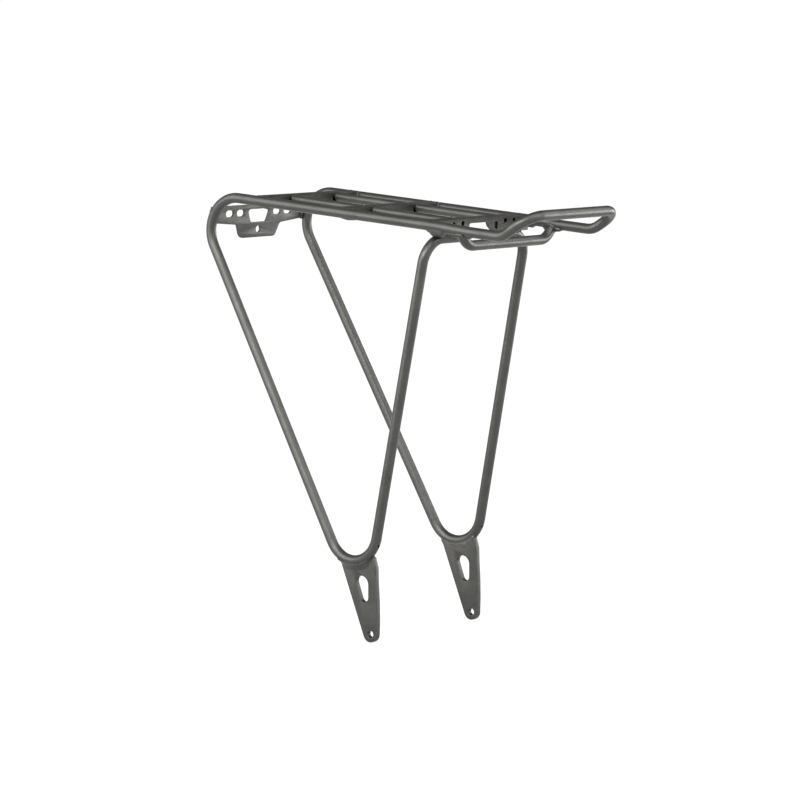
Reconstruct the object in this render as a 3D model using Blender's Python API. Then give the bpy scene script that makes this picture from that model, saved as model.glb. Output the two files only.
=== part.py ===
"""Bicycle rear rack: a welded carrier bent from round tube.

Frame: metres, +Z up, +X to the rear of the bicycle, -Y to its left side.
The origin is midway between the two lower eyelets.
"""
import math

import bmesh
import bpy
from mathutils import Vector

MM = 0.001

# ---- driving dimensions, millimetres ----
GAP = 0.3                 # clearance between neighbouring pieces
TUBE_R = 5.0              # frame tube, 10 mm outside diameter
ROD_R = 4.3               # deck rod, 8.6 mm diameter
DECK_Z = 396.5            # height of the side rail axes above the eyelets
RAIL_Y = 72.0             # half spacing of the side rails
DIP = 1.2                 # the rails drop slightly behind the rear bracket

FRONT_X = -263.3          # where rail and front leg axes would cross
CORNER_R = 32.0           # bend radius of the front corners
VEE_X, VEE_Y, VEE_Z = -9.3, 82.6, 13.1   # where front and rear leg axes would cross
VEE_R = 30.0              # bend radius at the foot of the legs
VEE_JOIN = 83.5           # height of the butt joint between front leg and rear leg foot

RISE_X0, RISE_X1 = 119.1, 147.3          # start and top of the rear rise
RISE_R = 20.0
LOOP_Z = 417.1            # height of the raised rear crossbar
LOOP_Y = 75.0             # half width of the loop at its top
LOOP_R = 22.5
SLIGHT_R = 60.0           # bend radius where the rails only dip or spread

LEG_TOP_X, LEG_TOP_Y = 36.1, 78.1        # top of the rear leg before it turns inward
LEG_TOP_Z = DECK_Z - 13.0
LEG_TOP_R = 24.0
LEG_END_Y = 28.0          # the turned-in end stops under the deck rod
VENT_R, VENT_Z = 1.5, 86.5
VENT_FRONT, VENT_REAR = 2.0, 9.0         # reach of the vent cut behind the leg axis

STAY_X = 71.7             # dropped cross tube under the rails
STAY_Z = DECK_Z - 15.6
STAY_FLAT_Y = 61.5
STAY_END_Y = 73.0
STAY_SLOPE = 50.0         # degrees, rise of its two ends
STAY_R = 18.0
STAY_COPE = 0.25          # extra clearance of the stay ends under the rails

ROD_Y = 33.5
ROD_Z = DECK_Z + 1.2
ROD_NECK_R = 2.0
ROD_NECK, NECK_ROOT = 2.6, 4.0           # length of a neck, and of its root inside the rod

PLATE_FRONT_X = -167.3    # rear faces of the cross plates
PLATE_MID_X = -65.3
PLATE_REAR_X = 43.7
DIP_LENGTH = 33.0         # length over which the rails drop behind the rear bracket
PLATE_W = 14.0            # width of the top strip
STRIP_T = 1.5
FLANGE_T = 2.0
PLATE_TOP = DECK_Z + 5.0
PLATE_END_Y = 70.6
FLANGE_DROP = 6.5         # lower edge of the plain flanges below the rail axis
EAR_DROP = 10.0           # lower edge of the rear bracket's ears
HOLE_INNER_Y, HOLE_OUTER_Y = 33.5, 47.2
HOLE_INNER_R, HOLE_OUTER_R = 2.5, 2.2
BOSS_WALL, BOSS_DEPTH = 1.0, 9.0         # closed boss in front of each hole of a flange
WINDOW_R, WINDOW_Z = 4.2, DECK_Z - 1.2   # recess around a deck rod's neck
WEB_Z = DECK_Z + 0.6      # lower edge of the rear bracket between its ears
CUT = 1.0                 # how far a cutter passes a face

MOUNT_X = -238.7          # mid plane of the front mounting plate
MOUNT_T = 2.0

DROP_Y = 79.5             # mid plane of a dropout
DROP_T = 5.0
EYELET_R = 3.5


def vec(x, y, z):
    return Vector((x * MM, y * MM, z * MM))


# ---- paths ----
def arc_between(corner, before, after, radius, step):
    """Points of the circular bend that replaces one corner of a path."""
    u = (before - corner).normalized()
    v = (after - corner).normalized()
    half = u.angle(v) / 2.0
    centre = corner + (u + v).normalized() * (radius / math.sin(half))
    start = corner + u * (radius / math.tan(half)) - centre
    end = corner + v * (radius / math.tan(half)) - centre
    sweep = math.pi - 2.0 * half
    count = max(2, math.ceil(math.degrees(sweep) / step))
    points = []
    for i in range(count + 1):
        t = i / count
        a = math.sin((1.0 - t) * sweep) / math.sin(sweep)
        b = math.sin(t * sweep) / math.sin(sweep)
        points.append(centre + start * a + end * b)
    return points


def rounded(corners, radii, step=6.0):
    """Open path through the corners with every inner corner bent to a radius."""
    points = [corners[0]]
    for i in range(1, len(corners) - 1):
        points += arc_between(corners[i], corners[i - 1], corners[i + 1], radii[i - 1] * MM, step)
    points.append(corners[-1])
    return points


def rounded_outline(corners, radii, step=12.0):
    """Closed flat outline, (x, y) millimetres, with rounded corners."""
    flat = [Vector((x * MM, y * MM, 0.0)) for x, y in corners]
    points = []
    for i, corner in enumerate(flat):
        if radii[i] == 0:
            points.append(corner)
            continue
        before = flat[i - 1]
        after = flat[(i + 1) % len(flat)]
        points += arc_between(corner, before, after, radii[i] * MM, step)
    return points


def arc_points(x, y, radius, start, end, count):
    """Points of a flat arc, angles in degrees."""
    points = []
    for i in range(count + 1):
        angle = math.radians(start + (end - start) * i / count)
        points.append(vec(x + radius * math.cos(angle), y + radius * math.sin(angle), 0.0))
    return points


def circle(x, y, radius, count=24):
    return arc_points(x, y, radius, 0.0, 360.0 - 360.0 / count, count - 1)


def slot(x, y, length, height):
    """Obround outline, long along x."""
    radius = height / 2.0
    reach = length / 2.0 - radius
    right_end = arc_points(x + reach, y, radius, -90.0, 90.0, 10)
    left_end = arc_points(x - reach, y, radius, 90.0, 270.0, 10)
    return right_end + left_end


# ---- scene helpers ----
def clear_scene():
    for item in list(bpy.data.objects):
        bpy.data.objects.remove(item, do_unlink=True)


def new_collection(name):
    group = bpy.data.collections.new(name)
    bpy.context.scene.collection.children.link(group)
    return group


def paint(name, colour, roughness, metallic):
    material = bpy.data.materials.new(name)
    material.use_nodes = True
    shader = material.node_tree.nodes["Principled BSDF"]
    shader.inputs["Base Color"].default_value = (*colour, 1.0)
    shader.inputs["Roughness"].default_value = roughness
    shader.inputs["Metallic"].default_value = metallic
    return material


def finish(obj, group, material=None):
    group.objects.link(obj)
    if material is not None:
        obj.data.materials.clear()
        obj.data.materials.append(material)
    return obj


def tube_curve(name, points, radius, resolution=8):
    """Solid round bar along a path."""
    curve = bpy.data.curves.new(name, "CURVE")
    curve.dimensions = "3D"
    curve.bevel_depth = radius * MM
    curve.bevel_resolution = resolution
    curve.use_fill_caps = True
    spline = curve.splines.new("POLY")
    spline.points.add(len(points) - 1)
    for target, point in zip(spline.points, points):
        target.co = (*point, 1.0)
    spline.use_smooth = True
    return bpy.data.objects.new(name, curve)


def tube_mesh(name, points, radius, resolution=8):
    """The same bar as a closed mesh, for pieces that get cut."""
    source = tube_curve(name + "_path", points, radius, resolution)
    bpy.context.scene.collection.objects.link(source)
    bpy.context.view_layer.update()
    graph = bpy.context.evaluated_depsgraph_get()
    mesh = bpy.data.meshes.new_from_object(source.evaluated_get(graph))
    data = source.data
    bpy.data.objects.remove(source, do_unlink=True)
    bpy.data.curves.remove(data)
    work = bmesh.new()
    work.from_mesh(mesh)
    bmesh.ops.remove_doubles(work, verts=work.verts, dist=0.00001)
    bmesh.ops.recalc_face_normals(work, faces=work.faces)
    work.to_mesh(mesh)
    work.free()
    mesh.name = name
    return bpy.data.objects.new(name, mesh)


def plate_curve(name, outlines, thickness):
    """Flat plate from an outer outline and holes, extruded both ways."""
    curve = bpy.data.curves.new(name, "CURVE")
    curve.dimensions = "2D"
    curve.fill_mode = "BOTH"
    curve.extrude = thickness * MM / 2.0
    for outline in outlines:
        spline = curve.splines.new("POLY")
        spline.points.add(len(outline) - 1)
        for target, point in zip(spline.points, outline):
            target.co = (point.x, point.y, 0.0, 1.0)
        spline.use_cyclic_u = True
    return bpy.data.objects.new(name, curve)


def cylinder_along_x(name, x0, x1, y, z, radius, sides=24):
    mesh = bpy.data.meshes.new(name)
    work = bmesh.new()
    bmesh.ops.create_cone(work, cap_ends=True, segments=sides, radius1=radius * MM,
                          radius2=radius * MM, depth=(x1 - x0) * MM)
    for vertex in work.verts:
        along, across, up = vertex.co.z, vertex.co.y, vertex.co.x
        vertex.co = ((x0 + x1) / 2.0 * MM + along, y * MM + across, z * MM - up)
    bmesh.ops.recalc_face_normals(work, faces=work.faces)
    work.to_mesh(mesh)
    work.free()
    return bpy.data.objects.new(name, mesh)


def combine(target, tool, operation):
    """Keep the tool as a hidden wire shape and cut or join it exactly."""
    CUTTERS.objects.link(tool)
    tool.hide_render = True
    tool.display_type = "WIRE"
    step = target.modifiers.new(operation.lower(), "BOOLEAN")
    step.operation = operation
    step.solver = "EXACT"
    step.object = tool


def shade_round(obj, limit=0.6):
    """Smooth shading with the sharp rims kept."""
    mesh = obj.data
    work = bmesh.new()
    work.from_mesh(mesh)
    for face in work.faces:
        face.smooth = True
    for edge in work.edges:
        if len(edge.link_faces) == 2 and edge.calc_face_angle(0.0) > limit:
            edge.smooth = False
    work.to_mesh(mesh)
    work.free()


# ---- leg geometry shared by several pieces ----
def leg_foot(side):
    return vec(VEE_X, side * VEE_Y, VEE_Z)


def leg_top(side):
    return vec(LEG_TOP_X, side * LEG_TOP_Y, LEG_TOP_Z)


def front_top(side):
    return vec(FRONT_X, side * RAIL_Y, DECK_Z)


def leg_point(side, top, height):
    """Point at a given height on the straight axis from the foot to a leg top."""
    low = leg_foot(side)
    share = (height * MM - low.z) / (top.z - low.z)
    return low.lerp(top, share)


# ---- sub-parts ----
def build_loop_tube():
    """Front legs, side rails and raised rear crossbar: one bent tube."""
    left = [leg_point(-1, front_top(-1), VEE_JOIN + GAP / 2.0), front_top(-1),
            vec(PLATE_REAR_X, -RAIL_Y, DECK_Z), vec(PLATE_REAR_X + DIP_LENGTH, -RAIL_Y, DECK_Z - DIP),
            vec(RISE_X0, -RAIL_Y, DECK_Z - DIP), vec(RISE_X1, -LOOP_Y, LOOP_Z)]
    right = [Vector((p.x, -p.y, p.z)) for p in reversed(left)]
    half = [CORNER_R, SLIGHT_R, SLIGHT_R, RISE_R, LOOP_R]
    path = rounded(left + right, half + list(reversed(half)))
    return finish(tube_curve("loop_tube", path, TUBE_R), RACK, SATIN)


def build_rear_leg(name, side):
    """Rear leg: hooked foot at the bottom, top turned inward under the deck."""
    path = rounded([leg_point(side, front_top(side), VEE_JOIN - GAP / 2.0), leg_foot(side),
                    leg_top(side), vec(LEG_TOP_X, side * LEG_END_Y, LEG_TOP_Z)], [VEE_R, LEG_TOP_R])
    leg = tube_mesh(name, path, TUBE_R)
    shade_round(leg)
    spot = leg_point(side, leg_top(side), VENT_Z) / MM
    vent = cylinder_along_x(name + "_vent_cut", spot.x + VENT_FRONT, spot.x + VENT_REAR, spot.y, spot.z,
                            VENT_R, 12)
    combine(leg, vent, "DIFFERENCE")
    return finish(leg, RACK, SATIN)


def build_stay():
    """Dropped cross tube whose ends are coped to the underside of the rails."""
    rise = math.tan(math.radians(STAY_SLOPE))
    end_z = STAY_Z + (STAY_END_Y - STAY_FLAT_Y) * rise
    path = rounded([vec(STAY_X, -STAY_END_Y, end_z), vec(STAY_X, -STAY_FLAT_Y, STAY_Z),
                    vec(STAY_X, STAY_FLAT_Y, STAY_Z), vec(STAY_X, STAY_END_Y, end_z)], [STAY_R, STAY_R])
    stay = tube_mesh("rear_stay_tube", path, TUBE_R)
    shade_round(stay)
    for side in (-1, 1):
        cope = cylinder_along_x("stay_cope_cut", STAY_X - 2.0 * TUBE_R, STAY_X + 2.0 * TUBE_R,
                                side * RAIL_Y, DECK_Z - DIP, TUBE_R + GAP + STAY_COPE, 32)
        combine(stay, cope, "DIFFERENCE")
    return finish(stay, RACK, SATIN)


def build_rod(name, x0, x1, side):
    """Deck rod between two cross plates, its front end turned down to a neck."""
    rod = cylinder_along_x(name, x0, x1, side * ROD_Y, ROD_Z, ROD_R, 24)
    shade_round(rod)
    neck = cylinder_along_x(name + "_neck", x0 - ROD_NECK, x0 + NECK_ROOT, side * ROD_Y, ROD_Z,
                            ROD_NECK_R, 12)
    combine(rod, neck, "UNION")
    return finish(rod, RACK, SATIN)


def angle_bar(name, rear_x, drop):
    """Top strip with a flange turned down along its rear edge."""
    profile = [(-PLATE_W, 0.0), (0.0, 0.0), (0.0, -drop), (-FLANGE_T, -drop),
               (-FLANGE_T, -STRIP_T), (-PLATE_W, -STRIP_T)]
    mesh = bpy.data.meshes.new(name)
    work = bmesh.new()
    rings = []
    for y in (-PLATE_END_Y, PLATE_END_Y):
        rings.append([work.verts.new(vec(rear_x + px, y, PLATE_TOP + pz)) for px, pz in profile])
    work.faces.new(rings[0])
    work.faces.new(list(reversed(rings[1])))
    for i in range(len(profile)):
        j = (i + 1) % len(profile)
        work.faces.new((rings[0][i], rings[1][i], rings[1][j], rings[0][j]))
    bmesh.ops.recalc_face_normals(work, faces=work.faces)
    work.to_mesh(mesh)
    work.free()
    return bpy.data.objects.new(name, mesh)


def cope_to_rails(bar, rear_x):
    for side in (-1, 1):
        cope = cylinder_along_x(bar.name + "_cope_cut", rear_x - PLATE_W - CUT, rear_x + CUT,
                                side * RAIL_Y, DECK_Z, TUBE_R + GAP, 32)
        combine(bar, cope, "DIFFERENCE")


def blind_hole(bar, rear_x, y, z, radius):
    """Hole in the flange that ends in a closed boss in front of it."""
    front = rear_x - FLANGE_T - BOSS_DEPTH
    boss = cylinder_along_x(bar.name + "_boss", front, rear_x - FLANGE_T / 2.0, y, z, radius + BOSS_WALL)
    combine(bar, boss, "UNION")
    bore = cylinder_along_x(bar.name + "_bore_cut", front + BOSS_WALL, rear_x + CUT, y, z, radius, 20)
    combine(bar, bore, "DIFFERENCE")


def build_cross_plate(name, rear_x):
    """Plain cross plate with one round recess for each deck rod's neck."""
    bar = angle_bar(name, rear_x, PLATE_TOP - DECK_Z + FLANGE_DROP)
    cope_to_rails(bar, rear_x)
    for side in (-1, 1):
        blind_hole(bar, rear_x, side * ROD_Y, WINDOW_Z, WINDOW_R)
    return finish(bar, RACK, STEEL)


def build_rear_bracket():
    """Rear cross plate with two hanging ears, drilled for a lamp or reflector."""
    name = "rear_light_bracket"
    bar = angle_bar(name, PLATE_REAR_X, PLATE_TOP - DECK_Z + EAR_DROP)
    cope_to_rails(bar, PLATE_REAR_X)
    notch = plate_curve(name + "_notch_path", [rounded_outline(
        [(-23.0, DECK_Z - 20.0), (-23.0, WEB_Z), (4.2, WEB_Z), (6.2, DECK_Z - 3.5), (13.2, DECK_Z - 8.5),
         (14.6, DECK_Z - 20.0)], [0, 1.6, 0.6, 3.0, 0, 0])], 8.0)
    combine(bar, stand_across(notch, PLATE_REAR_X), "DIFFERENCE")
    recess = plate_curve(name + "_recess_path", [rounded_outline(
        [(16.2, WEB_Z), (21.4, WEB_Z), (21.4, DECK_Z - 6.5), (17.2, DECK_Z - 6.5)], [0, 0, 0, 0])], 3.4)
    combine(bar, stand_across(recess, PLATE_REAR_X), "DIFFERENCE")
    for side in (-1, 1):
        blind_hole(bar, PLATE_REAR_X, side * HOLE_OUTER_Y, DECK_Z + 0.9, HOLE_OUTER_R)
        blind_hole(bar, PLATE_REAR_X, side * HOLE_INNER_Y, DECK_Z + 0.9, HOLE_INNER_R)
    return finish(bar, RACK, STEEL)


def stand_across(flat, x):
    """Stand a flat outline upright across the rack, as a closed mesh."""
    bpy.context.scene.collection.objects.link(flat)
    flat.rotation_euler = (math.radians(90.0), 0.0, math.radians(90.0))
    flat.location = (x * MM, 0.0, 0.0)
    bpy.context.view_layer.update()
    graph = bpy.context.evaluated_depsgraph_get()
    mesh = bpy.data.meshes.new_from_object(flat.evaluated_get(graph))
    mesh.transform(flat.matrix_world)
    name = flat.name.replace("_path", "_cut")
    data = flat.data
    bpy.data.objects.remove(flat, do_unlink=True)
    bpy.data.curves.remove(data)
    work = bmesh.new()
    work.from_mesh(mesh)
    bmesh.ops.remove_doubles(work, verts=work.verts, dist=0.000001)
    bmesh.ops.recalc_face_normals(work, faces=work.faces)
    work.to_mesh(mesh)
    work.free()
    return bpy.data.objects.new(name, mesh)


def build_front_plate():
    """Winged plate between the front corners: four slots, a window and a tab hole."""
    wing = [(70.8, DECK_Z - 12.6), (70.8, DECK_Z - 17.5), (68.5, DECK_Z - 21.0), (67.0, DECK_Z - 29.0)]
    right = wing + [(33.0, DECK_Z - 32.2), (25.5, DECK_Z - 45.6)]
    left = wing + [(32.6, DECK_Z - 32.0), (27.6, DECK_Z - 45.6)]
    corners = right + [(-y, z) for y, z in reversed(left)]
    radii = [0, 0, 0, 0, 4.0, 5.0, 7.5, 1.5, 0, 0, 0, 0]
    window = [(16.9, DECK_Z - 17.2), (11.4, DECK_Z - 30.4), (-11.4, DECK_Z - 30.4), (-16.9, DECK_Z - 17.2)]
    outlines = [rounded_outline(corners, radii), rounded_outline(window, [3.0, 2.5, 2.5, 3.0])]
    for y in (-44.0, -27.6, 27.6, 44.0):
        outlines.append(slot(y, DECK_Z - 20.5, 11.4, 6.9))
    outlines.append(circle(0.0, DECK_Z - 37.5, 3.5))
    plate = plate_curve("front_mounting_plate", outlines, MOUNT_T)
    plate.rotation_euler = (math.radians(90.0), 0.0, math.radians(90.0))
    plate.location = (MOUNT_X * MM, 0.0, 0.0)
    return finish(plate, RACK, STEEL)


def vee_centre():
    """Centre of the bend at the foot of the legs, in the XZ plane."""
    low = Vector((VEE_X, VEE_Z))
    front = (Vector((FRONT_X, DECK_Z)) - low).normalized()
    rear = (Vector((LEG_TOP_X, LEG_TOP_Z)) - low).normalized()
    half = front.angle(rear) / 2.0
    return low + (front + rear).normalized() * (VEE_R / math.sin(half))


def build_dropout(name, side):
    """Tapered dropout hanging under the bend, with a tear slot and an eyelet."""
    centre = vee_centre()
    reach = VEE_R + TUBE_R + GAP
    edge = arc_points(centre.x, centre.y, reach, -40.0, -110.0, 12)
    tip = arc_points(-0.5, 0.2, 8.3, 206.0, 360.0, 14)
    back = [vec(7.2, 14.5, 0.0), vec(5.6, 32.5, 0.0), vec(3.1, 50.5, 0.0), vec(1.7, 64.5, 0.0)]
    tear = (arc_points(-14.4, 46.3, 8.3, 3.0, 90.0, 8) + arc_points(-15.4, 48.6, 6.0, 90.0, 205.0, 10)
            + arc_points(-10.1, 34.5, 4.9, 205.0, 363.0, 12))
    plate = plate_curve(name, [edge + tip + back, tear, circle(0.0, 0.0, EYELET_R)], DROP_T)
    plate.rotation_euler = (math.radians(90.0), 0.0, 0.0)
    plate.location = (0.0, side * DROP_Y * MM, 0.0)
    return finish(plate, RACK, STEEL)


clear_scene()
RACK = new_collection("bicycle_rear_rack")
CUTTERS = new_collection("cutters")
SATIN = paint("satin_graphite_tube", (0.105, 0.105, 0.1), 0.42, 0.55)
STEEL = paint("satin_graphite_plate", (0.095, 0.094, 0.09), 0.48, 0.5)

build_loop_tube()
build_rear_leg("rear_leg_left", -1)
build_rear_leg("rear_leg_right", 1)
build_stay()
build_cross_plate("cross_plate_front", PLATE_FRONT_X)
build_cross_plate("cross_plate_middle", PLATE_MID_X)
build_rear_bracket()
for side_name, side in (("left", -1), ("right", 1)):
    build_rod("deck_rod_front_" + side_name, PLATE_FRONT_X + ROD_NECK, PLATE_MID_X - PLATE_W - GAP, side)
    build_rod("deck_rod_rear_" + side_name, PLATE_MID_X + ROD_NECK, PLATE_REAR_X - PLATE_W - GAP, side)
build_front_plate()
build_dropout("dropout_left", -1)
build_dropout("dropout_right", 1)
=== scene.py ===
"""Looks of the bicycle rear rack: camera, studio, powder coat, and the welds between its tubes and plates."""
import math
import random

import bmesh
import bpy
from mathutils import Matrix, Vector, noise as value_noise


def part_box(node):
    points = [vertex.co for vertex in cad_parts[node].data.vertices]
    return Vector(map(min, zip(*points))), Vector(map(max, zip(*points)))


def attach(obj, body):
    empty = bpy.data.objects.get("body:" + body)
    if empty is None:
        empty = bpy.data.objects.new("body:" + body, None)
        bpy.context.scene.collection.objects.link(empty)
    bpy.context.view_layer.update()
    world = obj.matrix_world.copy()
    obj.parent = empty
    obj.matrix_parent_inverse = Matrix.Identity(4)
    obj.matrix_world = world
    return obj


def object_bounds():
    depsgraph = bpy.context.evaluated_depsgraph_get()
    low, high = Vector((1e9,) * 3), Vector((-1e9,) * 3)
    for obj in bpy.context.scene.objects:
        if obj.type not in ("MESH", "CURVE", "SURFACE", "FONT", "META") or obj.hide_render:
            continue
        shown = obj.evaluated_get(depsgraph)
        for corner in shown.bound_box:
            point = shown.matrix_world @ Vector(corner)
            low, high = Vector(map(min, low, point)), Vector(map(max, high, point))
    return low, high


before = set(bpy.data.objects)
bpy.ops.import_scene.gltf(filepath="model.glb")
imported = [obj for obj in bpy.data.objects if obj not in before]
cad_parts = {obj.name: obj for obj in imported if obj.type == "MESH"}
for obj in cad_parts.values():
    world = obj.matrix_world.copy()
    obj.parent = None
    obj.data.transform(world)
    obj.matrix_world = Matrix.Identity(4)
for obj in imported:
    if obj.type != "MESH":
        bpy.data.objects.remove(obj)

CAD_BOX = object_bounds()
MM = 0.001

# ---- camera, degrees and metres ----
AZIMUTH, ELEVATION, ROLL = 38.0, 9.008, 3.408
DISTANCE = 3.294
LENS = 152.4
AIM_RIGHT, AIM_UP = -0.00057, 0.00635   # where the view axis passes the middle of the object

# ---- lights: name, degrees round from the camera, elevation, width, height, radiance ----
SOFTBOXES = (("key_softbox", -36.0, 34.0, 2.1, 1.5, 8.6), ("low_key_softbox", -60.0, 8.0, 1.5, 1.5, 4.4),
             ("side_softbox", -84.0, 22.0, 1.9, 2.5, 3.0), ("fill_softbox", 60.0, 34.0, 1.5, 1.5, 3.8),
             ("low_fill_softbox", 60.0, 8.0, 1.5, 1.5, 1.6), ("rear_softbox", 104.0, 34.0, 2.8, 1.5, 1.8),
             ("low_rear_softbox", 112.0, 5.0, 2.4, 1.2, 6.0),
             ("front_softbox", 15.0, 34.0, 3.0, 1.5, 1.8), ("top_softbox", 22.0, 62.0, 3.0, 1.5, 2.8))
SOFTBOX_DISTANCE = 3.0

# ---- sizes shared with the CAD model, millimetres ----
TUBE_R = 5.0
RAIL_Y = 72.0
PLATE_W = 14.0
RAIL_DROP = 1.2                   # the rails sit lower behind the rear bracket
STAY_SLOPE = 50.0                 # degrees, rise of the stay's ends
STAY_FLAT_Y, STAY_Z = 61.5, 15.6  # start of that rise, and its depth under the rail axis
VEE_R = 30.0                      # bend at the foot of the legs
FRONT_X, VEE_X, VEE_Z = -263.3, -9.3, 13.1
VEE_Y, VEE_JOIN = 82.6, 83.5
LEG_TOP_X, LEG_TOP_DROP = 36.1, 13.0
DROPOUT_FACES = (77.0, 82.0)      # inner and outer face of a dropout
COLLAR_REACH = 6.5                # how far the weld collar runs down the dropout
SIDES = (("left", -1), ("right", 1))


# ---- reading the frame ----
def middle(node):
    low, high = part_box(node)
    return (low + high) / 2.0


def vec(x, y, z):
    return Vector((x * MM, y * MM, z * MM))


RAIL_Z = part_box("cross_plate_front")[1].z / MM - TUBE_R   # height of the side rail axes


# ---- node helpers ----
def new_material(name):
    material = bpy.data.materials.new(name)
    material.use_nodes = True
    nodes = material.node_tree.nodes
    return material, nodes, material.node_tree.links, nodes["Principled BSDF"]


def noise(nodes, links, coordinate, scale, detail=2.0, roughness=0.5):
    texture = nodes.new("ShaderNodeTexNoise")
    texture.inputs["Scale"].default_value = scale
    texture.inputs["Detail"].default_value = detail
    texture.inputs["Roughness"].default_value = roughness
    links.new(coordinate, texture.inputs["Vector"])
    return texture.outputs["Fac"]


def ramp(nodes, links, value, low, high, start=0.35, end=0.65):
    """Colour ramp between two linear colours."""
    node = nodes.new("ShaderNodeValToRGB")
    node.color_ramp.elements[0].position = start
    node.color_ramp.elements[0].color = (*low, 1.0)
    node.color_ramp.elements[1].position = end
    node.color_ramp.elements[1].color = (*high, 1.0)
    links.new(value, node.inputs["Fac"])
    return node.outputs["Color"]


def span(nodes, links, value, low, high, start=0.3, end=0.7):
    """Value mapped from start..end to low..high."""
    node = nodes.new("ShaderNodeMapRange")
    node.inputs["From Min"].default_value = start
    node.inputs["From Max"].default_value = end
    node.inputs["To Min"].default_value = low
    node.inputs["To Max"].default_value = high
    links.new(value, node.inputs["Value"])
    return node.outputs["Result"]


def mix_colour(nodes, links, factor, first, second, blend="MIX"):
    node = nodes.new("ShaderNodeMix")
    node.data_type = "RGBA"
    node.blend_type = blend
    for key, value in (("Factor", factor), ("A", first), ("B", second)):
        socket = node.inputs[key]
        if isinstance(value, bpy.types.NodeSocket):
            links.new(value, socket)
        else:
            socket.default_value = value
    return node.outputs["Result"]


def worn_edges(nodes, links, coordinate, radius):
    """0 on flat paint, towards 1 where an outer edge rubs thin."""
    rounded = nodes.new("ShaderNodeBevel")
    rounded.samples = 6
    rounded.inputs["Radius"].default_value = radius
    plain = nodes.new("ShaderNodeNewGeometry")
    dot = nodes.new("ShaderNodeVectorMath")
    dot.operation = "DOT_PRODUCT"
    links.new(rounded.outputs["Normal"], dot.inputs[0])
    links.new(plain.outputs["Normal"], dot.inputs[1])
    edge = span(nodes, links, dot.outputs["Value"], 1.0, 0.0, 0.80, 0.985)
    patches = span(nodes, links, noise(nodes, links, coordinate, 260.0, 4.0, 0.6), 0.0, 1.0, 0.45, 0.62)
    both = nodes.new("ShaderNodeMath")
    both.operation = "MULTIPLY"
    links.new(edge, both.inputs[0])
    links.new(patches, both.inputs[1])
    return both.outputs["Value"]


def painted_corner_shade(nodes, links, own_piece_only):
    """Painted shade: 1 on open surfaces, lower inside slots, holes and creases, where ambient occlusion
    darkens the base colour.
    """
    cavity = nodes.new("ShaderNodeAmbientOcclusion")
    cavity.samples = 6
    cavity.only_local = own_piece_only
    cavity.inputs["Distance"].default_value = 0.014 if own_piece_only else 0.004
    closed, open_air = (0.45, 0.95) if own_piece_only else (0.25, 0.75)
    return span(nodes, links, cavity.outputs["AO"], 0.12, 1.0, closed, open_air)


def powder_coat(name, dark, light, roughness, peel, grain, shade_own_slots=False):
    """Satin graphite powder coat: mottled colour, fine metallic speckle, orange peel, rubbed edges, and
    painted shade that darkens it in slots, holes and creases.
    """
    material, nodes, links, shader = new_material(name)
    coordinate = nodes.new("ShaderNodeTexCoord").outputs["Object"]
    mottle = noise(nodes, links, coordinate, 34.0, 4.0, 0.6)
    colour = ramp(nodes, links, mottle, dark, light, 0.34, 0.68)
    speckle = noise(nodes, links, coordinate, 2600.0, 2.0, 0.7)
    flakes = ramp(nodes, links, speckle, (0.82, 0.82, 0.82), (1.22, 1.21, 1.18), 0.38, 0.64)
    colour = mix_colour(nodes, links, 1.0, colour, flakes, "MULTIPLY")
    edge = worn_edges(nodes, links, coordinate, 0.0006)
    faded = span(nodes, links, edge, 0.0, 0.35, 0.0, 1.0)
    colour = mix_colour(nodes, links, faded, colour, (0.16, 0.157, 0.15, 1.0))
    # painted shade: ambient occlusion darkens the base colour inside slots, holes and creases
    colour = mix_colour(nodes, links, 1.0, colour, painted_corner_shade(nodes, links, shade_own_slots), "MULTIPLY")
    links.new(colour, shader.inputs["Base Color"])
    smudge = noise(nodes, links, coordinate, 75.0, 5.0, 0.65)
    links.new(span(nodes, links, smudge, roughness - 0.05, roughness + 0.08), shader.inputs["Roughness"])
    orange = nodes.new("ShaderNodeBump")
    orange.inputs["Strength"].default_value = peel
    orange.inputs["Distance"].default_value = 0.00025
    links.new(noise(nodes, links, coordinate, 620.0, 2.0, 0.5), orange.inputs["Height"])
    fine = nodes.new("ShaderNodeBump")
    fine.inputs["Strength"].default_value = grain
    fine.inputs["Distance"].default_value = 0.00008
    links.new(noise(nodes, links, coordinate, 3400.0, 3.0, 0.6), fine.inputs["Height"])
    links.new(orange.outputs["Normal"], fine.inputs["Normal"])
    links.new(fine.outputs["Normal"], shader.inputs["Normal"])
    shader.inputs["Metallic"].default_value = 0.6
    shader.inputs["Specular IOR Level"].default_value = 0.5
    return material


def floor_material():
    material, nodes, links, shader = new_material("studio_floor")
    shader.inputs["Base Color"].default_value = (0.06, 0.06, 0.06, 1.0)
    shader.inputs["Roughness"].default_value = 0.9
    shader.inputs["Specular IOR Level"].default_value = 0.0
    shader.inputs["Emission Color"].default_value = (1.0, 1.0, 1.0, 1.0)
    shader.inputs["Emission Strength"].default_value = 1.0
    return material


# ---- CAD nodes: materials and softened edges ----
def dress(node, material, edge=0.0):
    """Paint a CAD node; plates also get their cut edges rounded over as paint rounds them."""
    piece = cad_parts[node]
    piece.data.materials.clear()
    piece.data.materials.append(material)
    weld = piece.modifiers.new("join_split_corners", "WELD")
    weld.merge_threshold = 0.00001
    if edge:
        bevel = piece.modifiers.new("paint_rounded_edges", "BEVEL")
        bevel.width = edge
        bevel.segments = 3
        bevel.limit_method = "ANGLE"
        bevel.angle_limit = math.radians(40.0)
        bevel.harden_normals = False
    smooth_faces(piece.data)
    smooth_by_angle(piece, 38.0)


def smooth_faces(mesh):
    mesh.polygons.foreach_set("use_smooth", [True] * len(mesh.polygons))


def smooth_by_angle(piece, degrees):
    """Sharp shading only where faces meet at more than the angle."""
    tree = bpy.data.node_groups.get("smooth_by_angle") or build_smooth_group()
    modifier = piece.modifiers.new("smooth_by_angle", "NODES")
    modifier.node_group = tree
    modifier[tree.interface.items_tree["Angle"].identifier] = math.radians(degrees)


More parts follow.
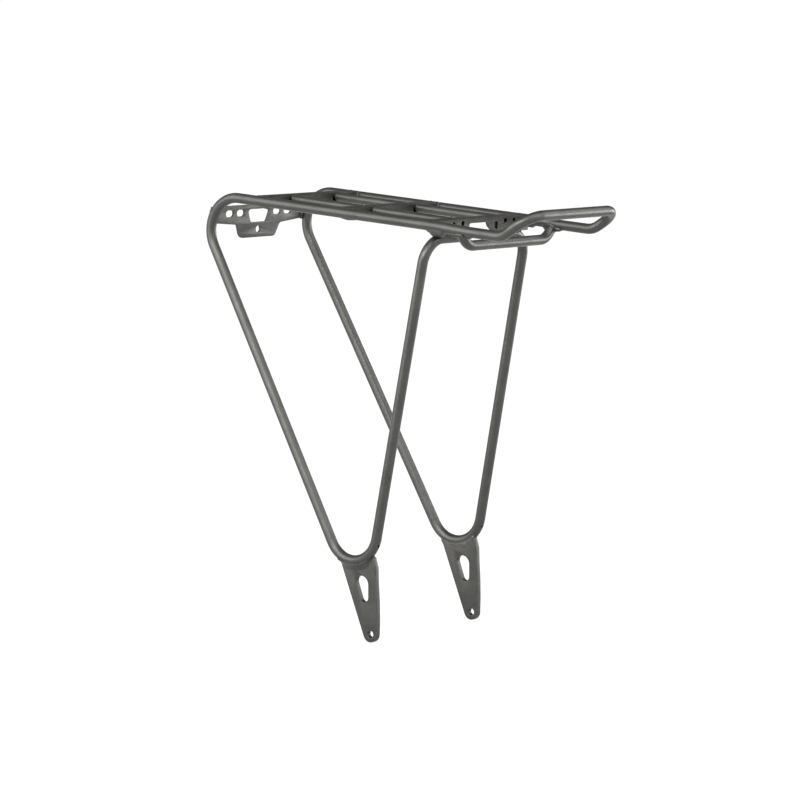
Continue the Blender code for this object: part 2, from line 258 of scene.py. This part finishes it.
def build_smooth_group():
    tree = bpy.data.node_groups.new("smooth_by_angle", "GeometryNodeTree")
    tree.interface.new_socket("Geometry", in_out="INPUT", socket_type="NodeSocketGeometry")
    tree.interface.new_socket("Geometry", in_out="OUTPUT", socket_type="NodeSocketGeometry")
    tree.interface.new_socket("Angle", in_out="INPUT", socket_type="NodeSocketFloat")
    source = tree.nodes.new("NodeGroupInput")
    target = tree.nodes.new("NodeGroupOutput")
    faces = tree.nodes.new("GeometryNodeSetShadeSmooth")
    edges = tree.nodes.new("GeometryNodeSetShadeSmooth")
    edges.domain = "EDGE"
    angle = tree.nodes.new("GeometryNodeInputMeshEdgeAngle")
    below = tree.nodes.new("FunctionNodeCompare")
    below.operation = "LESS_EQUAL"
    tree.links.new(source.outputs["Geometry"], faces.inputs["Geometry"])
    tree.links.new(faces.outputs["Geometry"], edges.inputs["Geometry"])
    tree.links.new(angle.outputs["Unsigned Angle"], below.inputs["A"])
    tree.links.new(source.outputs["Angle"], below.inputs["B"])
    tree.links.new(below.outputs["Result"], edges.inputs["Shade Smooth"])
    tree.links.new(edges.outputs["Geometry"], target.inputs["Geometry"])
    return tree


# ---- weld beads ----
def resample(points, step, closed=False):
    """Even points along a polyline."""
    chain = list(points) + ([points[0]] if closed else [])
    lengths = [0.0]
    for a, b in zip(chain, chain[1:]):
        lengths.append(lengths[-1] + (b - a).length)
    total = lengths[-1]
    count = max(3, round(total / step))
    even = []
    j = 0
    for i in range(count if closed else count + 1):
        want = total * i / count
        while j < len(chain) - 2 and lengths[j + 1] < want:
            j += 1
        gap = lengths[j + 1] - lengths[j]
        share = 0.0 if gap == 0.0 else (want - lengths[j]) / gap
        even.append(chain[j].lerp(chain[j + 1], share))
    return even, total


def add_bead(mesh, points, radius, seed, closed=False, pitch=1.5 * MM, ripple=0.16, wander=0.12, sides=12):
    """Round weld bead along a path, with overlapping ripples of slightly uneven size."""
    step = 0.35 * MM
    even, total = resample(points, step, closed)
    count = len(even)
    draw = random.Random(seed)
    waves = max(1, round(total / pitch))
    sizes = [1.0 + draw.uniform(-wander, wander) for _ in range(waves + 1)]
    shifts = [Vector([draw.uniform(-wander, wander) * radius for _ in range(3)]) for _ in range(waves + 1)]
    rings = []
    normal = None
    for i, point in enumerate(even):
        before = even[i - 1] if closed or i else even[0]
        after = even[(i + 1) % count] if closed or i < count - 1 else even[-1]
        along = (after - before).normalized()
        if normal is None:
            normal = along.orthogonal()
        normal = (normal - along * normal.dot(along)).normalized()
        across = along.cross(normal)
        place = waves * i / count
        wave = int(place) % waves
        share = place - int(place)
        scallop = math.sqrt(max(0.0, 1.0 - (1.5 * share - 0.5) ** 2))
        size = radius * sizes[wave] * (1.0 - ripple + ripple * scallop)
        centre = point + shifts[wave].lerp(shifts[(wave + 1) % waves], share)
        if not closed:
            reach = min(i, count - 1 - i) * step
            size *= math.sqrt(max(0.02, 1.0 - max(0.0, 1.0 - reach / radius) ** 2))
        ring = []
        for k in range(sides):
            turn = 2.0 * math.pi * k / sides
            ring.append(mesh.verts.new(centre + (normal * math.cos(turn) + across * math.sin(turn)) * size))
        rings.append(ring)
    pairs = list(zip(rings, rings[1:])) + ([(rings[-1], rings[0])] if closed else [])
    if closed:
        pairs[-1] = (rings[-1], turned_to_match(rings[-1], rings[0]))
    for first, second in pairs:
        for k in range(sides):
            j = (k + 1) % sides
            mesh.faces.new((first[k], first[j], second[j], second[k]))
    if not closed:
        mesh.faces.new(list(reversed(rings[0])))
        mesh.faces.new(rings[-1])


def turned_to_match(last, first):
    """The first ring renumbered so that it lines up with the last one."""
    sides = len(first)
    best = min(range(sides), key=lambda turn: sum((last[k].co - first[(k + turn) % sides].co).length
                                                  for k in range(sides)))
    return [first[(k + best) % sides] for k in range(sides)]


def add_blob(mesh, centre, radii, seed, roughness=0.1):
    """Uneven rounded lump of filler metal."""
    draw = random.Random(seed)
    made = bmesh.ops.create_icosphere(mesh, subdivisions=3, radius=1.0)
    waves = [(Vector([draw.uniform(-1.0, 1.0) for _ in range(3)]).normalized(), draw.uniform(2.0, 6.0),
              draw.uniform(0.0, 6.0)) for _ in range(6)]
    for vertex in made["verts"]:
        direction = vertex.co.normalized()
        swell = 1.0 + roughness * sum(math.sin(direction.dot(axis) * rate + phase)
                                      for axis, rate, phase in waves) / 3.0
        vertex.co = centre + Vector([direction[k] * radii[k] * swell for k in range(3)])


def add_skin(mesh, rings, seed, rough, grain=2.2):
    """Closed skin over a row of closed outlines, made slightly uneven like brushed weld metal."""
    shift = Vector((seed * 3.7, seed * 1.3, seed * 0.7))
    rows = []
    for ring_points in rings:
        centre = sum(ring_points, Vector()) / len(ring_points)
        row = []
        for point in ring_points:
            out = point - centre
            swell = value_noise.noise(point / (grain * MM) + shift) * rough * MM
            row.append(mesh.verts.new(point + out.normalized() * swell if out.length > 0.0 else point))
        rows.append(row)
    count = len(rows[0])
    for first, second in zip(rows, rows[1:]):
        for k in range(count):
            j = (k + 1) % count
            mesh.faces.new((first[k], first[j], second[j], second[k]))
    for row in (rows[0], rows[-1]):
        hub = mesh.verts.new(sum((vertex.co for vertex in row), Vector()) / count)
        for k in range(count):
            mesh.faces.new((hub, row[k], row[(k + 1) % count]))


def bend_through(first, control, last, count):
    """Points of a curve from first to last that leaves and arrives along the control point."""
    shares = [i / (count - 1) for i in range(count)]
    return [((1 - t) ** 2 * first[0] + 2 * t * (1 - t) * control[0] + t * t * last[0],
             (1 - t) ** 2 * first[1] + 2 * t * (1 - t) * control[1] + t * t * last[1]) for t in shares]


def weld_piece(name, build):
    """One weld as its own piece on the rack."""
    data = bpy.data.meshes.new(name)
    mesh = bmesh.new()
    build(mesh)
    bmesh.ops.recalc_face_normals(mesh, faces=mesh.faces)
    mesh.to_mesh(data)
    mesh.free()
    smooth_faces(data)
    data.materials.append(WELD_COAT)
    piece = bpy.data.objects.new(name, data)
    bpy.context.scene.collection.objects.link(piece)
    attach(piece, "root")
    return piece


# ---- camera and studio ----
def make_camera():
    azimuth, elevation, roll = (math.radians(value) for value in (AZIMUTH, ELEVATION, ROLL))
    back = Vector((math.sin(azimuth) * math.cos(elevation), -math.cos(azimuth) * math.cos(elevation),
                   math.sin(elevation)))
    right = Vector((math.cos(azimuth), math.sin(azimuth), 0.0))
    up = back.cross(right)
    level = Matrix((right, up, back)).transposed()
    turned = level @ Matrix.Rotation(roll, 3, "Z")
    low, high = CAD_BOX
    aim = (low + high) / 2.0 + right * AIM_RIGHT + up * AIM_UP
    data = bpy.data.cameras.new("camera")
    data.lens = LENS
    data.sensor_width = 36.0
    data.clip_start = 0.05
    data.clip_end = 200.0
    camera = bpy.data.objects.new("camera", data)
    bpy.context.scene.collection.objects.link(camera)
    camera.matrix_world = Matrix.Translation(aim + back * DISTANCE) @ turned.to_4x4()
    bpy.context.scene.camera = camera


def make_world():
    """White below eye level, dim above it."""
    world = bpy.data.worlds.new("studio")
    world.use_nodes = True
    bpy.context.scene.world = world
    nodes, links = world.node_tree.nodes, world.node_tree.links
    direction = nodes.new("ShaderNodeTexCoord").outputs["Generated"]
    split = nodes.new("ShaderNodeSeparateXYZ")
    links.new(direction, split.inputs["Vector"])
    sky = ramp(nodes, links, span(nodes, links, split.outputs["Z"], 0.0, 1.0, 0.0, 1.0),
               (1.0, 1.0, 1.0), (0.12, 0.12, 0.12), 0.0, 0.10)
    links.new(sky, nodes["Background"].inputs["Color"])
    nodes["Background"].inputs["Strength"].default_value = 1.0


def make_softbox(name, azimuth, elevation, width, height, radiance):
    """Rectangular area light aimed at the middle of the object."""
    light = bpy.data.lights.new(name, "AREA")
    light.shape = "RECTANGLE"
    light.size, light.size_y = width, height
    light.energy = 4.0 * width * height * radiance
    a, e = math.radians(azimuth), math.radians(elevation)
    back = Vector((math.sin(a) * math.cos(e), -math.cos(a) * math.cos(e), math.sin(e)))
    low, high = CAD_BOX
    lamp = bpy.data.objects.new(name, light)
    lamp.location = (low + high) / 2.0 + back * SOFTBOX_DISTANCE
    lamp.rotation_mode = "QUATERNION"
    lamp.rotation_quaternion = back.to_track_quat("Z", "Y")
    bpy.context.scene.collection.objects.link(lamp)


def make_floor():
    low, _ = CAD_BOX
    data = bpy.data.meshes.new("floor")
    mesh = bmesh.new()
    bmesh.ops.create_circle(mesh, cap_ends=True, segments=64, radius=60.0)
    mesh.to_mesh(data)
    mesh.free()
    data.materials.append(floor_material())
    floor = bpy.data.objects.new("floor", data)
    floor.location = (0.0, 0.0, low.z - 0.0002)
    bpy.context.scene.collection.objects.link(floor)


# ---- where the welds run, millimetres ----
def stay_saddle(side):
    """Closed curve where a stay end meets the underside of its rail."""
    slope = math.radians(STAY_SLOPE)
    x = middle("rear_stay_tube").x / MM
    rail_z = RAIL_Z - RAIL_DROP
    stay_z = RAIL_Z - STAY_Z
    offset = (rail_z - stay_z) * math.cos(slope) - (RAIL_Y - STAY_FLAT_Y) * math.sin(slope)
    near, far = -math.pi - math.asin((TUBE_R - offset) / TUBE_R) + slope, math.radians(-38.0)
    front, back = [], []
    for i in range(25):
        turn = near + (far - near) * i / 24
        v = offset + TUBE_R * math.sin(turn - slope)
        reach = math.sqrt(max(0.0, TUBE_R ** 2 - v ** 2)) + 0.2
        y = side * (RAIL_Y + 5.2 * math.cos(turn))
        z = rail_z + 5.2 * math.sin(turn)
        front.append(vec(x - reach, y, z))
        back.append(vec(x + reach, y, z))
    return front + list(reversed(back))


def vee_centre():
    low = Vector((VEE_X, VEE_Z))
    front = (Vector((FRONT_X, RAIL_Z)) - low).normalized()
    rear = (Vector((LEG_TOP_X, RAIL_Z - LEG_TOP_DROP)) - low).normalized()
    half = front.angle(rear) / 2.0
    return low + (front + rear).normalized() * (VEE_R / math.sin(half))


def collar_ring(side, centre, turn, share):
    """Outline of the weld between foot bend and dropout at one angle; share 0 sinks it into the tube."""
    reach = COLLAR_REACH * share * share
    swell = 0.6 + 0.4 * min(1.0, 3.0 * share)
    inner, outer = DROPOUT_FACES
    low = VEE_R + TUBE_R + reach
    outside = bend_through((VEE_R + 3.8, VEE_Y + 3.25), (VEE_R + TUBE_R + 0.42 * reach, outer + 0.1),
                           (low, outer - 0.4), 8)
    inside = bend_through((low, inner + 0.4), (VEE_R + TUBE_R - 0.6, inner - 0.5),
                          (VEE_R + 0.4, VEE_Y - 5.05), 8)
    core = [(VEE_R, VEE_Y)]
    points = [(VEE_R + swell * (r - VEE_R), VEE_Y + swell * (y - VEE_Y)) for r, y in outside + inside + core]
    return [vec(centre.x + r * math.cos(turn), side * y, centre.y + r * math.sin(turn)) for r, y in points]


def ring(centre, axis, radius, count=40):
    """Points of a circle about an axis."""
    u = axis.orthogonal().normalized()
    v = axis.normalized().cross(u)
    return [centre + (u * math.cos(t) + v * math.sin(t)) * radius
            for t in (2.0 * math.pi * i / count for i in range(count))]


def leg_joint(side):
    """Ring round the butt joint between front leg and rear leg foot."""
    low = vec(VEE_X, side * VEE_Y, VEE_Z)
    top = vec(FRONT_X, side * RAIL_Y, RAIL_Z)
    share = (VEE_JOIN * MM - low.z) / (top.z - low.z)
    return ring(low.lerp(top, share), top - low, 4.86 * MM)


def rail_side(side, x, radius, start, end):
    """Arc round a side rail in the plane x, over its inner side; angles in degrees from straight up."""
    turns = [math.radians(start + (end - start) * i / 16) for i in range(17)]
    return [vec(x, side * (RAIL_Y - radius * math.sin(t)), RAIL_Z + radius * math.cos(t)) for t in turns]


def build_stay_weld(side):
    """Bead round a stay end, with the fillets in front of it and behind it under the rail."""
    def build(mesh):
        add_bead(mesh, stay_saddle(side), 1.3 * MM, 11 + side, closed=True, ripple=0.12, wander=0.1)
        x = middle("rear_stay_tube").x / MM
        base = RAIL_Z - RAIL_DROP
        lumps = ((7.2, -3.9, 5.4, 3.3, 2.7), (-5.6, -4.2, 3.6, 3.3, 2.1), (0.4, -5.2, 5.9, 4.3, 3.5))
        for i, (dx, z, length, width, drop) in enumerate(lumps):
            add_blob(mesh, vec(x + dx, side * 70.2, base + z), [length * MM, width * MM, drop * MM],
                     40 + i + side, 0.07)
    return build


def build_leg_top_weld(side):
    """Wedge between rail and bracket ear, and the bead that ties the ear to the turned-in leg."""
    depth = 5.0 if side < 0 else 2.2

    def build(mesh):
        rings = []
        for i in range(25):
            x = 29.6 + i
            slope = min(1.0, max(0.0, (x - 30.6) / 9.0), max(0.0, (53.6 - x) / 5.0))
            half = 2.4 + depth * slope * slope * (3.0 - 2.0 * slope)
            rings.append([vec(x, side * (71.6 + 4.2 * math.cos(t)), RAIL_Z - 2.6 + half * math.sin(t))
                          for t in (2.0 * math.pi * k / 20 for k in range(20))])
        add_skin(mesh, rings, 51 + side, 0.5)
        crease = [vec(41.7, side * (31.0 + i), RAIL_Z - 10.3) for i in range(0, 34, 2)]
        add_bead(mesh, crease, 1.5 * MM, 57 + side, ripple=0.2, wander=0.25)
        lower = [vec(40.6, side * (32.0 + i), RAIL_Z - 12.0) for i in range(0, 30, 2)]
        add_bead(mesh, lower, 1.1 * MM, 61 + side, ripple=0.2, wander=0.25)
    return build


def build_plate_weld(node, side, lump_front, lump_rear, lump_drop):
    """Beads between the end of a cross plate and its rail, and the lump under the rail."""
    def build(mesh):
        rear_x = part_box(node)[1].x / MM
        top = [vec(rear_x - PLATE_W + 0.4 + i * 1.5, side * 70.2, RAIL_Z + 4.5) for i in range(10)]
        add_bead(mesh, top, 0.85 * MM, 71 + side, ripple=0.12, wander=0.14)
        add_bead(mesh, rail_side(side, rear_x + 0.2, 5.3, 24.0, 168.0), 1.0 * MM, 73 + side, wander=0.2)
        add_bead(mesh, rail_side(side, rear_x - 2.2, 5.3, 60.0, 168.0), 0.9 * MM, 75 + side, wander=0.2)
        middle_x, half = (lump_front + lump_rear) / 2.0, (lump_rear - lump_front) / 2.0
        add_blob(mesh, vec(middle_x, side * 71.2, RAIL_Z - 4.2),
                 [half * MM, 3.2 * MM, (0.8 + lump_drop) * MM], 77 + side, 0.08)
    return build


def build_rod_weld(node):
    """Half ring where the rear end of a deck rod meets the next cross plate."""
    def build(mesh):
        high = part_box(node)[1]
        centre = middle(node)
        turns = [math.radians(-25.0 + 230.0 * i / 20) for i in range(21)]
        radius = 4.1 * MM
        arc = [Vector((high.x + 0.1 * MM, centre.y + radius * math.cos(t), centre.z + radius * math.sin(t)))
               for t in turns]
        add_bead(mesh, arc, 0.6 * MM, 91, ripple=0.1, wander=0.12)
    return build


def build_front_plate_weld(side):
    """Bead down a wing end of the front mounting plate, where it meets the leg."""
    x = middle("front_mounting_plate").x / MM
    heights = ((70.0, -14.6), (70.2, -17.5), (68.7, -20.6), (67.7, -24.5), (67.0, -28.0))

    def build(mesh):
        path = [vec(x, side * y, RAIL_Z + z) for y, z in heights]
        add_bead(mesh, path, 2.0 * MM, 101 + side, ripple=0.1, wander=0.1)
        add_blob(mesh, vec(x, side * 67.4, RAIL_Z - 28.4), [1.7 * MM, 2.6 * MM, 2.0 * MM], 103 + side, 0.05)
    return build


def build_dropout_weld(side):
    """Collar that blends the foot bend into both faces and both edges of the dropout."""
    start, end = -36.0, -119.0
    full_start, full_end = -56.0, -99.0

    def build(mesh):
        centre = vee_centre()
        rings = []
        for i in range(90):
            turn = start + (end - start) * i / 89
            share = min(1.0, (start - turn) / (start - full_start), (turn - end) / (full_end - end))
            rings.append(collar_ring(side, centre, math.radians(turn), share))
        add_skin(mesh, rings, 111 + side, 0.08 if side < 0 else 0.28, 3.6)
    return build


def build_joint_weld(side):
    def build(mesh):
        add_bead(mesh, leg_joint(side), 0.3 * MM, 121 + side, closed=True, ripple=0.04, wander=0.05)
    return build


def make_welds():
    lumps = {"cross_plate_front": (-173.8, -159.3, 1.9), "cross_plate_middle": (-75.0, -53.6, 1.2),
             "rear_light_bracket": (32.7, 45.7, 1.0)}
    for word, side in SIDES:
        weld_piece("weld_stay_" + word, build_stay_weld(side))
        weld_piece("weld_leg_top_" + word, build_leg_top_weld(side))
        for node, lump in lumps.items():
            weld_piece(f"weld_{node}_{word}", build_plate_weld(node, side, *lump))
        weld_piece("weld_front_plate_" + word, build_front_plate_weld(side))
        weld_piece("weld_dropout_" + word, build_dropout_weld(side))
        weld_piece("weld_leg_joint_" + word, build_joint_weld(side))
    for node in RODS:
        weld_piece("weld_" + node, build_rod_weld(node))


bpy.context.scene.view_settings.view_transform = "Standard"
make_camera()
make_world()
make_floor()
for name, turn, elevation, width, height, radiance in SOFTBOXES:
    make_softbox(name, AZIMUTH + turn, elevation, width, height, radiance)

TUBE_COAT = powder_coat("graphite_tube_coat", (0.041, 0.041, 0.039), (0.056, 0.0555, 0.052), 0.36, 0.10, 0.22)
# plates get stronger painted shade from the slots and holes of their own piece
PLATE_COAT = powder_coat("graphite_plate_coat", (0.030, 0.030, 0.028), (0.043, 0.042, 0.039),
                         0.42, 0.14, 0.30, shade_own_slots=True)
WELD_COAT = powder_coat("graphite_weld_coat", (0.040, 0.040, 0.038), (0.062, 0.061, 0.058), 0.36, 0.35, 0.30)

TUBES = ["loop_tube", "rear_leg_left", "rear_leg_right", "rear_stay_tube"]
RODS = [f"deck_rod_{place}_{side}" for place in ("front", "rear") for side in ("left", "right")]
PLATES = {"cross_plate_front": 0.35 * MM, "cross_plate_middle": 0.35 * MM, "rear_light_bracket": 0.3 * MM,
          "front_mounting_plate": 0.35 * MM, "dropout_left": 0.7 * MM, "dropout_right": 0.7 * MM}
for node in TUBES + RODS:
    dress(node, TUBE_COAT)
for node, edge in PLATES.items():
    dress(node, PLATE_COAT, edge)
make_welds()
